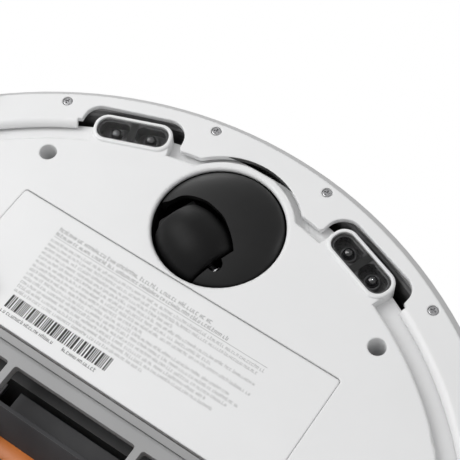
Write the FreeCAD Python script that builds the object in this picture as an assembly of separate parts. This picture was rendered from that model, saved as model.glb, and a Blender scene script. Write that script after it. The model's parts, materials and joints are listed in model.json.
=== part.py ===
import FreeCAD, Part
import math
import os

# Robot vacuum cleaner, round body, 350 mm across and 97 mm high.
# Row frame: millimetres, origin on the floor under the middle of the body,
# +Z up, front (bumper side) along -Y, the robot's left side along +X.

os.makedirs("parts", exist_ok=True)

# ---------------------------------------------------------------- dimensions
R_BODY = 175.0          # outer radius of bumper and rear shell
R_FLANGE = 172.0        # radius where the underside flange meets the bevel
Z_FLANGE = 9.6          # underside of the bumper flange
Z_BEVEL = 12.2          # top of the bevel, where the vertical wall starts
T_FLANGE = 2.2          # flange thickness
Z_PLATE = 9.0           # underside of the base plate
T_PLATE = 2.5
R_ISLAND = 150.5        # lowered middle of the base plate
R_EDGE = 1.2            # rounding of the plate's outer edge
R_LEDGE = 159.6         # recessed rim of the base plate
Z_LEDGE = 14.0
T_LEDGE = 2.5
Z_DECK = 80.0           # top face of the deck
T_DECK = 3.0
Z_TOP = 97.0            # top of the turret
BUMPER_END_Y = -8.0     # the bumper's ends
SHELL_START_Y = -4.5    # the rear shell's ends
BUMPER_TRAVEL = 2.5

CASTER_X, CASTER_Y = 0.0, -130.7
CASTER_HOLE_R = 26.0
CASTER_LIP = 1.4
CASTER_ANGLE = 21.0     # parked swivel angle about +Z
CASTER_TRAIL = 11.0
CASTER_WHEEL_R = 13.5
CASTER_WHEEL_W = 25.6
CASTER_DOME_R = 25.2

SENSOR_X, SENSOR_Y, SENSOR_ANG = 53.4, -146.9, 20.4
WINDOW_L, WINDOW_W, WINDOW_R = 29.6, 10.0, 4.5

WHEEL_R, WHEEL_W = 34.0, 20.0
WHEEL_X, WHEEL_Y = 118.0, 3.0
PIVOT_Y, PIVOT_Z = -40.0, 30.0

BRUSH_Y, BRUSH_Z, BRUSH_R = -17.0, 24.5, 21.5
SIDE_X, SIDE_Y = -110.0, -79.9
TURRET_Y, TURRET_R = 15.0, 40.0
BIN_X, BIN_Y0, BIN_Z0, BIN_Z1 = 75.6, 62.4, 21.4, 69.6
SCREW_R = 168.5
SCREW_ANGLES = (8.94, 30.5, 52.0, 73.0)
WELLS = ((76.2, -121.1), (-76.2, -121.1), (126.0, 60.0), (-126.0, 60.0), (58.0, 128.0), (-58.0, 128.0))
BUTTON_X, BUTTON_Y, BUTTON_R = 15.0, -112.0, 7.0

V = FreeCAD.Vector
Z = V(0, 0, 1)


# ---------------------------------------------------------------- helpers
def box(x0, x1, y0, y1, z0, z1):
    return Part.makeBox(x1 - x0, y1 - y0, z1 - z0, V(x0, y0, z0))


def cyl(r, z0, z1, x=0.0, y=0.0):
    return Part.makeCylinder(r, z1 - z0, V(x, y, z0), Z)


def cylx(r, x0, x1, y, z):
    return Part.makeCylinder(r, x1 - x0, V(x0, y, z), V(1, 0, 0))


def cyly(r, y0, y1, x, z):
    return Part.makeCylinder(r, y1 - y0, V(x, y0, z), V(0, 1, 0))


def ring(ro, ri, z0, z1, x=0.0, y=0.0):
    return cyl(ro, z0, z1, x, y).cut(cyl(ri, z0 - 1, z1 + 1, x, y))


def turn(points, x=0.0, y=0.0):
    """Solid of revolution about a vertical axis through (x, y); points are (r, z)."""
    w = Part.makePolygon([V(r, 0, z) for r, z in points] + [V(points[0][0], 0, points[0][1])])
    s = Part.Face(w).revolve(V(0, 0, 0), Z, 360)
    s.translate(V(x, y, 0))
    return s


def arc_pts(cx, cz, r, a0, a1, n=8):
    return [(cx + r * math.cos(math.radians(a0 + (a1 - a0) * i / n)),
             cz + r * math.sin(math.radians(a0 + (a1 - a0) * i / n))) for i in range(n + 1)]


def rounded(points, z0, z1):
    """Prism over a polygon whose corners (x, y, r) are rounded with radius r."""
    n = len(points)
    segs = []
    ends = []
    for i in range(n):
        x0, y0, _ = points[i - 1]
        x1, y1, r = points[i]
        x2, y2, _ = points[(i + 1) % n]
        a = V(x0 - x1, y0 - y1, 0)
        b = V(x2 - x1, y2 - y1, 0)
        p = V(x1, y1, 0)
        if r <= 0:
            ends.append((p, None, p))
            continue
        a.normalize()
        b.normalize()
        half = a.getAngle(b) / 2
        t = r / math.tan(half)
        m = a + b
        m.normalize()
        c = p + m * (r / math.sin(half))
        ends.append((p + a * t, c - m * r, p + b * t))
    for i in range(n):
        s, mid, e = ends[i]
        if mid is not None:
            segs.append(Part.Arc(s, mid, e).toShape())
        nxt = ends[(i + 1) % n][0]
        if (nxt - e).Length > 1e-6:
            segs.append(Part.LineSegment(e, nxt).toShape())
    f = Part.Face(Part.Wire(segs))
    s = f.extrude(V(0, 0, z1 - z0))
    s.translate(V(0, 0, z0))
    return s


def rrect(cx, cy, lx, ly, r, z0, z1, ang=0.0):
    hx, hy = lx / 2, ly / 2
    s = rounded([(-hx, -hy, r), (hx, -hy, r), (hx, hy, r), (-hx, hy, r)], z0, z1)
    s.rotate(V(0, 0, 0), Z, ang)
    s.translate(V(cx, cy, 0))
    return s


def mirror_x(s):
    return s.mirror(V(0, 0, 0), V(1, 0, 0))


def both(s):
    return [s, mirror_x(s)]


def fuse(shapes):
    a = shapes[0]
    if len(shapes) > 1:
        a = a.multiFuse(shapes[1:])
    return a.removeSplitter()


def cut(a, tools):
    for t in tools:
        a = a.cut(t)
    return a


def polar(r, a):
    """Point at radius r and angle a (degrees) measured from the front, positive to +X."""
    return r * math.sin(math.radians(a)), -r * math.cos(math.radians(a))


def save(name, shape):
    solids = shape.Solids
    if not solids:
        raise RuntimeError(name + " has no solid")
    bad = [s for s in solids if not s.isValid() or s.Volume < 0.05]
    shape = solids[0] if len(solids) == 1 else Part.makeCompound(solids)
    shape.exportStep("parts/" + name + ".step")
    b = shape.BoundBox
    print("%-22s %2d solids %9.0f mm3  x %.1f..%.1f y %.1f..%.1f z %.1f..%.1f%s" % (
        name, len(solids), shape.Volume, b.XMin, b.XMax, b.YMin, b.YMax, b.ZMin, b.ZMax,
        "  BAD" if bad else ""))


FRONT = box(-200, 200, -200, BUMPER_END_Y, -5, 120)
REAR = box(-200, 200, SHELL_START_Y, 200, -5, 120)

# ---------------------------------------------------------------- base plate
ca, sa = math.cos(math.radians(SENSOR_ANG)), math.sin(math.radians(SENSOR_ANG))


def pod_at(z0, z1, grow, r):
    return rrect(SENSOR_X, SENSOR_Y, WINDOW_L + 2 * grow, WINDOW_W + 2 * grow, r, z0, z1, SENSOR_ANG)


Z_POD = Z_PLATE - 0.8
pod = pod_at(Z_POD, Z_LEDGE + T_LEDGE, 1.5, 5.7)
pod_edges = [e for e in pod.Edges if abs(e.BoundBox.ZMin - Z_POD) < 1e-6 and abs(e.BoundBox.ZMax - Z_POD) < 1e-6]
pod = pod.makeFillet(0.8, pod_edges)
# the pod's foot squares off into the plate
foot = rrect(SENSOR_X - sa * 3.0, SENSOR_Y + ca * 3.0, WINDOW_L + 2.4, WINDOW_W - 0.9, 0.6, Z_PLATE, Z_LEDGE + T_LEDGE, SENSOR_ANG)



def low_edges(s, z):
    return [e for e in s.Edges if abs(e.BoundBox.ZMin - z) < 1e-6 and abs(e.BoundBox.ZMax - z) < 1e-6]


island = cyl(R_ISLAND, Z_PLATE, Z_LEDGE + T_LEDGE)
island = island.makeFillet(R_EDGE, low_edges(island, Z_PLATE)).cut(cyl(R_ISLAND - 2.2, Z_PLATE + T_PLATE, 40))
ledge = ring(R_LEDGE, R_ISLAND - 2.2, Z_LEDGE, Z_LEDGE + T_LEDGE)
collar = cyl(29.5, Z_PLATE, Z_LEDGE + T_LEDGE, CASTER_X, CASTER_Y)
collar = collar.makeFillet(0.8, low_edges(collar, Z_PLATE)).common(cyl(R_LEDGE - 0.1, 0, 40))
panel_pad = box(-76, 76, -106, -52.05, Z_PLATE + 1.5, 13.5)
base = fuse([island, ledge, collar, panel_pad] + both(pod) + both(foot))

# caster recess with a rounded lip
lip = [(0, 0), (CASTER_HOLE_R + CASTER_LIP, 0)] + [
    (CASTER_HOLE_R + CASTER_LIP - p, Z_PLATE + q) for p, q in
    [(CASTER_LIP * math.sin(math.radians(a)), CASTER_LIP * (1 - math.cos(math.radians(a)))) for a in (0, 15, 30, 45, 60, 75, 90)]
] + [(CASTER_HOLE_R, Z_PLATE + 2.0), (CASTER_HOLE_R + 1.3, Z_PLATE + 2.0), (CASTER_HOLE_R + 1.3, 30), (0, 30)]
base = cut(base, [turn(lip, CASTER_X, CASTER_Y)])

# sensor window pockets: front pair in the pods, rear pair in the plate
windows = both(pod_at(0, 40, 0, WINDOW_R))
RX, RY = polar(138.0, 125.0)
rear_pocket = rrect(RX, RY, WINDOW_L, WINDOW_W, WINDOW_R, 0, 40, 125.0)
windows += both(rear_pocket)
base = cut(base, windows)

# panel recess and battery window, brush bay, wheel openings
recess = rounded([(-72.5, -103.1, 1.5), (72.5, -103.1, 1.5), (72.5, -51.0, 0), (-72.5, -51.0, 0)], 0, Z_PLATE + 2.0)
base = cut(base, [recess, box(-67, 67, -99.5, -59, 0, 40), box(-92, 92, -52.0, 22.5, 0, 40)])
for s in (1, -1):
    x0, x1 = sorted((s * 101.2, s * 131.4))
    base = base.cut(box(x0, x1, -37.5, 43.5, 0, 40))

# side brush motor hole, charging contact pockets
base = base.cut(cyl(9.0, 0, 40, SIDE_X, SIDE_Y))
CONTACT = (32.0, 137.5)
for s in (1, -1):
    base = base.cut(rrect(s * CONTACT[0], CONTACT[1], 22.4, 9.4, 2.0, 0, 40))

# screw wells: tubes with an open mouth in the plate
for x, y in WELLS:
    top = 30.0 if y < 120 else 19.6
    base = base.fuse(cyl(5.3, Z_PLATE, top, x, y))
for x, y in WELLS:
    top = 30.0 if y < 120 else 19.6
    base = base.cut(cyl(3.5, 0, top - 2.5, x, y)).cut(cyl(1.3, 0, top + 1, x, y))
base = base.removeSplitter()
save("chassis_base", base)

# ---------------------------------------------------------------- base panel and battery
panel = rounded([(-72.4, -102.6, 1.2), (72.4, -102.6, 1.2), (72.4, -52.1, 0), (-72.4, -52.1, 0)], Z_PLATE, Z_PLATE + 1.95)
save("base_panel", panel)
cells = [rrect(0, -79, 130, 37, 4, 11.2, 33.0)]
save("battery_pack", fuse(cells + [box(52, 62, -60.6, -57.6, 24, 31)]))

# ---------------------------------------------------------------- bumper
lip_out = arc_pts(160.5, 12.6, 3.0, 270, 180)
lip_in = arc_pts(160.5, 12.6, 1.0, 180, 270)
wall = [(R_FLANGE, Z_FLANGE), (R_BODY, Z_BEVEL), (R_BODY, 75.0), (R_BODY - 1.2, 76.4), (169.5, 76.4),
        (169.5, 74.4), (R_BODY - 2.4, 74.4), (R_BODY - 2.4, 13.3), (R_FLANGE - 1.2, Z_FLANGE + T_FLANGE)]
rolled = turn([(160.6, Z_FLANGE)] + [(160.6, Z_FLANGE + 2.0)] + [(r, z) for r, z in reversed(lip_in)] + [(157.5, 12.6)] +
              [(r, z) for r, z in reversed(lip_out)])


def wedge(a0, a1, r=230.0, z0=-5, z1=120):
    pts = [V(0, 0, z0)] + [V(*polar(r, a0 + (a1 - a0) * i / 6.0), z0) for i in range(7)]
    f = Part.Face(Part.makePolygon(pts + [pts[0]]))
    return f.extrude(V(0, 0, z1 - z0))


# underside flange: a flat plate whose inner edge runs round the caster and the two sensor pods
slot = rounded([(33.0, -148.0, 0), (36.06, -163.83, 8.0), (76.39, -149.72, 7.0), (74.4, -136.0, 0), (60, -128, 0), (33, -140, 0)], 0, 20)
hole = fuse([cyl(154.4, 0, 20), cyl(32.2, 0, 20, CASTER_X, CASTER_Y), cyl(160.5, 0, 20).common(wedge(28.0, 100.0)),
             cyl(160.5, 0, 20).common(wedge(-100.0, -28.0))] + both(slot))
flange = cyl(R_FLANGE - 0.4, Z_FLANGE, Z_FLANGE + T_FLANGE).cut(hole).common(FRONT)
# the corners between the caster cut-out and the sensor cut-outs are rounded
corners = [e for e in flange.Edges if abs(e.BoundBox.XMax - e.BoundBox.XMin) < 1e-4 and abs(e.BoundBox.YMax - e.BoundBox.YMin) < 1e-4
           and 21 < abs(e.BoundBox.XMin) < 70 and e.BoundBox.YMin < -136]
flange = flange.makeFillet(1.6, corners)
body = turn([(R_FLANGE - 0.8, Z_FLANGE)] + wall[:-1] + [(R_FLANGE - 0.8, Z_FLANGE + T_FLANGE + 0.2)])
bumper = fuse([body.common(FRONT), flange])
bumper = fuse([bumper, rolled.common(wedge(28.6, 89.0)).common(FRONT), rolled.common(wedge(-89.0, -28.6)).common(FRONT)])
for s in (1, -1):
    for a in SCREW_ANGLES:
        x, y = polar(SCREW_R, s * a)
        bumper = bumper.fuse(cyl(3.6, Z_FLANGE + T_FLANGE - 0.2, 18.0, x, y))
for s in (1, -1):
    for a in SCREW_ANGLES:
        x, y = polar(SCREW_R, s * a)
        bumper = bumper.cut(cyl(2.1, 0, 11.3, x, y)).cut(cyl(1.15, 0, 17.0, x, y))
# signal window opening in the bumper's front face
eye = wedge(-13, 13, 230, 34, 47)
eye_hole = eye.common(ring(180, 171, 30, 50))
bumper = bumper.cut(eye_hole).common(cyl(R_BODY, 0, 100)).removeSplitter()
save("bumper_shell", bumper)

window = ring(R_BODY - 0.3, R_BODY - 2.0, 34.3, 46.7).common(wedge(-12.9, 12.9))
window = window.fuse(ring(R_BODY - 2.45, R_BODY - 3.6, 32, 49).common(wedge(-15, 15))).fuse(
    ring(R_BODY - 1.9, R_BODY - 3.0, 34.3, 46.7).common(wedge(-12.9, 12.9))).removeSplitter()
save("signal_window", window)

# black carrier inside the bumper: one curved strip standing on the flange
liner = turn([(166.6, 11.85), (168.6, 11.85), (168.6, 30), (171.2, 34), (171.2, 50), (169.6, 50), (169.6, 35), (167.0, 31)])
liner = liner.common(wedge(-78, 78)).common(FRONT)
for s in (1, -1):
    for a in SCREW_ANGLES:
        x, y = polar(SCREW_R, s * a)
        liner = liner.cut(cyl(3.8, 0, 18.2, x, y))
save("bumper_liner", liner.removeSplitter())


def screw(x, y, z_head, up, head_r=1.9, head_h=1.5, shank_r=1.1, length=6.5):
    """Pan-head screw, head down, with a cross recess."""
    h = cyl(head_r, z_head, z_head + head_h, x, y)
    ed = [e for e in h.Edges if abs(e.BoundBox.ZMax - z_head) < 1e-6 and e.BoundBox.ZMin > z_head - 1e-6]
    h = h.makeFillet(0.45, ed)
    h = h.fuse(cyl(shank_r, z_head + head_h, z_head + head_h + length, x, y))
    for w, l in ((0.5, head_r * 1.25), (head_r * 1.25, 0.5)):
        h = h.cut(box(x - l / 2, x + l / 2, y - w / 2, y + w / 2, z_head - 1, z_head + 0.8))
    return h


save("bumper_screws", Part.makeCompound([screw(*polar(SCREW_R, s * a), 9.65, True, length=5.6, shank_r=1.1)
                                         for s in (1, -1) for a in SCREW_ANGLES]))
save("base_screws", Part.makeCompound([screw(x, y, (30.0 if y < 120 else 19.6) - 4.6, True, 3.0, 2.0, 1.25, 2.6) for x, y in WELLS]))

# ---------------------------------------------------------------- rear shell
shell = turn([(160.5, Z_FLANGE)] + [(R_FLANGE, Z_FLANGE), (R_BODY, Z_BEVEL), (R_BODY, 75.6), (R_BODY - 1.2, 76.95), (169.5, 76.95),
             (169.5, 74.4), (R_BODY - 2.4, 74.4), (R_BODY - 2.4, 18.6), (157.0, 18.6), (157.0, 16.55), (R_BODY - 2.4, 16.55),
             (R_BODY - 2.4, 13.3), (R_FLANGE - 1.2, Z_FLANGE + T_FLANGE), (160.5, Z_FLANGE + T_FLANGE)]).common(REAR)
shell = fuse([shell, rolled.common(REAR)])
shell = shell.cut(box(-76.4, 76.4, 100, 200, 20.6, 70.4))
FAN_X, FAN_Y = 105.0, 92.0
fan_az = 180 - math.degrees(math.atan2(FAN_X, FAN_Y))
for i in range(-6, 7):
    x, y = polar(R_BODY, fan_az + i * 1.7)
    b = box(-1.3, 1.3, -8, 8, 30, 54)
    b.rotate(V(0, 0, 0), Z, fan_az + i * 1.7)
    b.translate(V(x, y, 0))
    shell = shell.cut(b)
save("rear_shell", shell.removeSplitter())

grille = ring(R_BODY - 2.5, R_BODY - 4.2, 27, 57).common(wedge(fan_az - 13, fan_az + 13))
for i in range(-7, 8):
    x, y = polar(R_BODY - 3.3, fan_az + i * 1.7 + 0.85)
    b = box(-1.5, 1.5, -4, 4, 30, 54)
    b.rotate(V(0, 0, 0), Z, fan_az + i * 1.7 + 0.85)
    b.translate(V(x, y, 0))
    if abs(i * 1.7 + 0.85) < 12:
        grille = grille.cut(b)
# horizontal ribs tie the vertical slats together
for z in (33.5, 41.0, 48.5):
    grille = grille.fuse(ring(R_BODY - 2.9, R_BODY - 4.0, z, z + 1.5).common(wedge(fan_az - 12.8, fan_az + 12.8)))
save("exhaust_grille", grille.removeSplitter())

# ---------------------------------------------------------------- front wall and deck
fw = ring(R_LEDGE, R_LEDGE - 2.2, Z_LEDGE + T_LEDGE, 76.9).common(box(-200, 200, -200, -4.6, 0, 100))
seam = ring(171.4, 169.4, 18.7, 74.2).common(box(-200, 200, -16, 4.0, 0, 100))
web = box(157.8, 170.5, -6.6, -4.6, 18.7, 74.2)
fw = fw.cut(cyl(29.8, 10, 35, CASTER_X, CASTER_Y))
SWITCH_A, SWITCH_Z = 40.0, 36.0
for s in (1, -1):
    h = cylx(2.0, 140, 170, 0, SWITCH_Z)
    h.rotate(V(0, 0, 0), Z, -90 + s * SWITCH_A)
    fw = fw.cut(h)
save("front_wall", fuse([fw, seam] + both(web)))
switches = []
for s in (1, -1):
    q = box(145.0, 156.9, -7, 7, SWITCH_Z - 5, SWITCH_Z + 5).fuse(cylx(1.6, 156.5, 163.0, 0, SWITCH_Z))
    q.rotate(V(0, 0, 0), Z, -90 + s * SWITCH_A)
    switches.append(q.removeSplitter())
save("bumper_switches", Part.makeCompound(switches))

deck_pts = [(0, Z_DECK - T_DECK), (R_BODY - 1.0, Z_DECK - T_DECK)] + arc_pts(R_BODY - 3.4, Z_DECK - 2.4, 2.4, 0, 90, 6) + [(0, Z_DECK)]
deck = turn(deck_pts)
deck = deck.fuse(ring(157.2, 155.2, 72, Z_DECK - T_DECK + 0.2))
deck = deck.cut(cyl(TURRET_R + 0.4, 60, 90, 0, TURRET_Y))
for s in (1, -1):
    deck = deck.cut(cyl(BUTTON_R + 0.35, 60, 90, s * BUTTON_X, BUTTON_Y))
# shallow dish round the two buttons, and a raised rim line near the edge
deck = deck.cut(rrect(0, BUTTON_Y, 58, 26, 12.9, Z_DECK - 0.6, Z_DECK + 1))
deck = deck.cut(ring(160.4, 159.6, Z_DECK - 0.5, Z_DECK + 1))
save("top_cover", deck.removeSplitter())

for nm, s in (("power_button", -1), ("dock_button", 1)):
    b = cyl(BUTTON_R, 76.0, 80.2, s * BUTTON_X, BUTTON_Y)
    ed = [e for e in b.Edges if e.BoundBox.ZMin > 80.19]
    b = b.makeFillet(0.8, ed)
    b = b.fuse(cyl(BUTTON_R + 1.5, 74.6, 76.4, s * BUTTON_X, BUTTON_Y)).fuse(cyl(2.0, 71.0, 74.8, s * BUTTON_X, BUTTON_Y))
    save(nm, b.removeSplitter())

# ---------------------------------------------------------------- turret
ty = TURRET_Y
pot = turn([(0, 56), (TURRET_R, 56), (TURRET_R, 84.0), (TURRET_R - 2, 84.0), (TURRET_R - 2, 58), (0, 58)], 0, ty)
pot = pot.cut(cyl(4.05, 50, 70, 0, ty))
for a in (90, 210, 330):
    x, y = (TURRET_R - 2.6) * math.cos(math.radians(a)), (TURRET_R - 2.6) * math.sin(math.radians(a))
    p = rrect(0, 0, 4.4, 9, 1.5, 83.0, 92.0, a)
    p.translate(V(x, y + ty, 0))
    pot = pot.fuse(p)
pot = pot.common(cyl(TURRET_R, 50, 95, 0, ty))
save("turret_housing", pot.removeSplitter())
cap = turn([(0, 92.0), (TURRET_R - 0.6, 92.0), (TURRET_R, 92.6)] + arc_pts(TURRET_R - 3.0, Z_TOP - 3.0, 3.0, 0, 90, 6) + [(0, Z_TOP)], 0, ty)
cap = cap.cut(ring(26.4, 25.8, Z_TOP - 0.5, Z_TOP + 1, 0, ty))
save("turret_cap", cap)
rotor = turn([(0, 61), (30, 61), (30, 91), (0, 91)], 0, ty)
rotor = rotor.cut(rrect(0, ty - 26, 34, 14, 3, 83, 90)).fuse(cyl(4.0, 54.5, 62, 0, ty))
rotor = rotor.fuse(cyly(4.2, ty - 24, ty - 17.5, -9, 86.5)).fuse(cyly(3.0, ty - 24, ty - 17.5, 9, 86.5))
save("lidar_rotor", rotor.removeSplitter())

# ---------------------------------------------------------------- caster
cx, cy = CASTER_X, CASTER_Y
cup = turn([(CASTER_HOLE_R, Z_PLATE + 2.0), (CASTER_HOLE_R + 1.2, Z_PLATE + 2.0), (CASTER_HOLE_R + 1.2, 16.5), (29.3, 16.5), (29.3, 18.3), (28.0, 18.3),
            (28.0, 34.5), (8.0, 34.5), (8.0, 43.5), (4.05, 43.5), (4.05, 32.5), (CASTER_HOLE_R, 32.5)], cx, cy)
cup = cup.common(cyl(R_LEDGE - 0.2, 0, 60))
save("caster_cup", cup)


def at_caster(s):
    s.rotate(V(0, 0, 0), Z, CASTER_ANGLE)
    s.translate(V(cx, cy, 0))
    return s


# local caster frame: swivel axis at the origin, wheel trailing along +Y, axle along X
cz = CASTER_WHEEL_R
dome_r = CASTER_DOME_R
bulge = [(0, 4.7)] + [((dome_r - 0.25) * math.sin(math.radians(t)), 11.9 - 7.2 * math.cos(math.radians(t)) ** 0.85) for t in
                      (8, 16, 24, 32, 40, 48, 56, 64, 72, 78, 83)] + [(dome_r, 12.6), (dome_r, 15.5)]
inner_b = [(23.2, 15.5), (23.2, 13.6)] + [(22.8 * math.sin(math.radians(t)), 13.8 - 6.7 * math.cos(math.radians(t)) ** 0.85) for t in
                                           (76, 64, 52, 40, 28, 16)] + [(0, 7.1)]
dome = turn(bulge + inner_b)
plate_top = cyl(22.5, 29.2, 31.6)
cheek = box(13.4, 16.4, 1.0, 21.5, 6.5, 29.4).common(cyl(23.4, 0, 60))
cheeks = [cheek, mirror_x(cheek)]
posts = box(-16.4, 16.4, -14.5, -11.5, 8.0, 29.4).common(cyl(23.4, 0, 60))
opening = rounded([(-27, 32, 0), (13.7, 32, 0), (13.7, 2.3, 1.0), (6.2, -1.6, 12.0), (-2.0, -3.0, 16.0), (-10.6, -1.6, 9.0), (-17.2, 1.9, 8.0),
                   (-20.6, 9.6, 4.0), (-27, 13.0, 0)], 0, 16.5)
dome = dome.cut(opening)
car = fuse([dome, plate_top, posts] + cheeks)
car = car.cut(cylx(CASTER_WHEEL_R + 1.0, -13.4, 13.4, CASTER_TRAIL, cz))
car = car.cut(cylx(1.5, -20, 20, CASTER_TRAIL, cz))
# half-round notches that open the axle seats downwards
car = car.cut(cylx(3.2, 12.9, 15.0, CASTER_TRAIL, cz - 1.0)).cut(cylx(3.2, -15.0, -12.9, CASTER_TRAIL, cz - 1.0))
car = car.cut(cyl(4.0, 25, 40))
save("caster_carriage", at_caster(car.removeSplitter()))
stem = turn([(0, 29.2), (4.0, 29.2), (4.0, 44.6), (3.4, 45.2), (0, 45.2)])
save("caster_stem", at_caster(stem))
axle = cylx(1.5, -16.2, 16.2, CASTER_TRAIL, cz)
save("caster_axle", at_caster(axle))
hw = CASTER_WHEEL_W / 2
prof = [(1.6, -hw), (4.2, -hw), (4.2, -hw + 0.8), (6.6, -hw + 0.8), (6.6, -hw), (9.2, -hw), (10.4, -hw + 0.7), (11.5, -hw + 2.2), (12.4, -hw + 4.6),
        (13.0, -hw + 7.2), (13.4, -hw + 10.0), (13.5, 0)]
prof = prof + [(r, -z) for r, z in reversed(prof[:-1])]
wheel = turn(prof)
wheel.rotate(V(0, 0, 0), V(0, 1, 0), 90)
wheel.translate(V(0, CASTER_TRAIL, cz))
save("caster_wheel", at_caster(wheel))

# ---------------------------------------------------------------- cliff sensors
def sensor_set(place, dz):
    """Window, carrier and two emitter domes of one sensor, in place."""
    w = rrect(0, 0, WINDOW_L - 0.2, WINDOW_W - 0.2, WINDOW_R - 0.1, dz, dz + 1.2)
    c = rrect(0, 0, WINDOW_L - 0.1, WINDOW_W - 0.1, WINDOW_R - 0.05, dz + 1.2, dz + 7.2)
    for s in (1, -1):
        c = c.cut(rrect(s * 7.2, 0, 11.6, 6.6, 2.9, dz + 1.0, dz + 6.5))
    leds = []
    for s in (1, -1):
        d = Part.makeSphere(2.4, V(s * 7.2, 0, dz + 5.0)).fuse(cyl(2.4, dz + 5.0, dz + 6.5, s * 7.2, 0))
        leds.append(d.common(cyl(5, dz, dz + 6.45, s * 7.2, 0)).removeSplitter())
    out = []
    for q in [w, c] + leds:
        q = q.copy()
        place(q)
        out.append(q)
    return out


def front_place(q):
    q.rotate(V(0, 0, 0), Z, SENSOR_ANG)
    q.translate(V(SENSOR_X, SENSOR_Y, 0))


def rear_place(q):
    q.rotate(V(0, 0, 0), Z, 125.0)
    q.translate(V(RX, RY, 0))


fs = sensor_set(front_place, Z_POD + 0.2)
rs = sensor_set(rear_place, Z_PLATE + 0.2)
save("cliff_windows", Part.makeCompound(both(fs[0]) + both(rs[0])))
save("cliff_sensors", Part.makeCompound(both(fs[1]) + both(rs[1])))
save("cliff_emitters", Part.makeCompound(both(fs[2]) + both(fs[3]) + both(rs[2]) + both(rs[3])))

# ---------------------------------------------------------------- main brush
by, bz = BRUSH_Y, BRUSH_Z
cover = rounded([(-91.4, -51.0, 3), (91.4, -51.0, 3), (91.4, 21.5, 3), (-91.4, 21.5, 3)], 8.6, 10.9)
frame_up = rounded([(-88, -47.6, 3), (88, -47.6, 3), (88, 17.5, 3), (-88, 17.5, 3)], 6.8, 8.8)
ed = [e for e in frame_up.Edges if e.BoundBox.ZMax < 6.81]
frame_up = frame_up.makeFillet(1.6, ed)
cover = cover.cut(rounded([(-88.5, -48.1, 3.4), (88.5, -48.1, 3.4), (88.5, 18.0, 3.4), (-88.5, 18.0, 3.4)], 8.0, 9.4))
cover = fuse([cover, frame_up, rounded([(-88, -47.6, 3), (88, -47.6, 3), (88, 17.5, 3), (-88, 17.5, 3)], 8.7, 10.9)])
for x0, x1 in ((-84, -30), (-27, 27), (30, 84)):
    cover = cover.cut(rounded([(x0, -42, 1.2), (x1, -42, 1.2), (x1, 8, 1.2), (x0, 8, 1.2)], 0, 20))
# pockets for the two release clips in the rear edge of the cover
for s in (1, -1):
    cover = cover.cut(box(s * 62 - 9.4, s * 62 + 9.4, 9.6, 17.0, 0, 9.8))
# finger recess in front of each clip
save("brush_cover", cover.removeSplitter())
for nm, s in (("cover_clip_left", 1), ("cover_clip_right", -1)):
    c = box(s * 62 - 9.0, s * 62 + 9.0, 12.6, 16.7, 7.0, 9.5)
    c = c.makeFillet(0.7, [e for e in c.Edges if e.BoundBox.ZMax < 7.01])
    for k in range(-2, 3):
        c = c.cut(box(s * 62 + k * 3.2 - 0.5, s * 62 + k * 3.2 + 0.5, 12.0, 17.0, 6.5, 7.5))
    save(nm, c)

# housing: a tunnel over the brush, bearing pockets at its ends, and the duct to the dust bin
hous = box(-93.5, 93.5, -55.5, 25, 13.6, 49)
hous = cut(hous, [box(-91.7, 91.7, -51.9, 22.4, 0, 24.0), cylx(24.0, -84, 84, by, bz), box(-84, 84, by - 24, by + 24, 0, bz),
                  box(-91.7, 91.7, by - 10, by + 10, 0, 35.2), cylx(3.6, 80, 100, by, bz)])
hous = hous.fuse(box(-34, 34, 20, 59.5, 31, 53))
hous = cut(hous, [box(-32, 32, -8, 80, 33, 47), box(-32, 32, 22, 80, 33, 51), box(-200, 200, -55.6, -51.95, 10, 13.6)])
save("brush_housing", hous.removeSplitter())
block = cut(box(84.3, 91.5, by - 9.6, by + 9.6, 12.2, 34.8), [cylx(3.05, 80, 95, by, bz)])
save("brush_bearings", Part.makeCompound(both(block)))

# roller: moulded core with end discs and stub shafts, six flexible fins with gaps at the cover's bars
core = fuse([cylx(8.0, -81, 81, by, bz), cylx(13.0, 79.2, 81.6, by, bz), cylx(13.0, -81.6, -79.2, by, bz), cylx(3.0, -91.3, 97.6, by, bz)])
save("brush_core", core)
fins = []
for i in range(6):
    for x0, x1 in ((-78.8, -31.6), (-25.4, 25.4), (31.6, 78.8)):
        f = box(x0, x1, -0.9, 0.9, 8.0, BRUSH_R)
        f = f.cut(cylx(8.0, -100, 100, 0, 0))
        f.rotate(V(0, 0, 0), V(1, 0, 0), i * 60 + 30)
        f.translate(V(0, by, bz))
        fins.append(f)
save("brush_fins", Part.makeCompound(fins))
gear_case = box(93.7, 100.2, -84, -6, 14.5, 58.5).cut(cylx(3.05, 90, 98, by, bz))
gear_case = gear_case.makeFillet(3.0, [e for e in gear_case.Edges if e.BoundBox.XMax - e.BoundBox.XMin > 6.4 and e.BoundBox.YMax - e.BoundBox.YMin < 0.01])
save("brush_motor", gear_case.fuse(cylx(11.5, 44, 93.8, -72, 46.2)).fuse(cylx(4.0, 41, 44.2, -72, 46.2)).removeSplitter())

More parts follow.
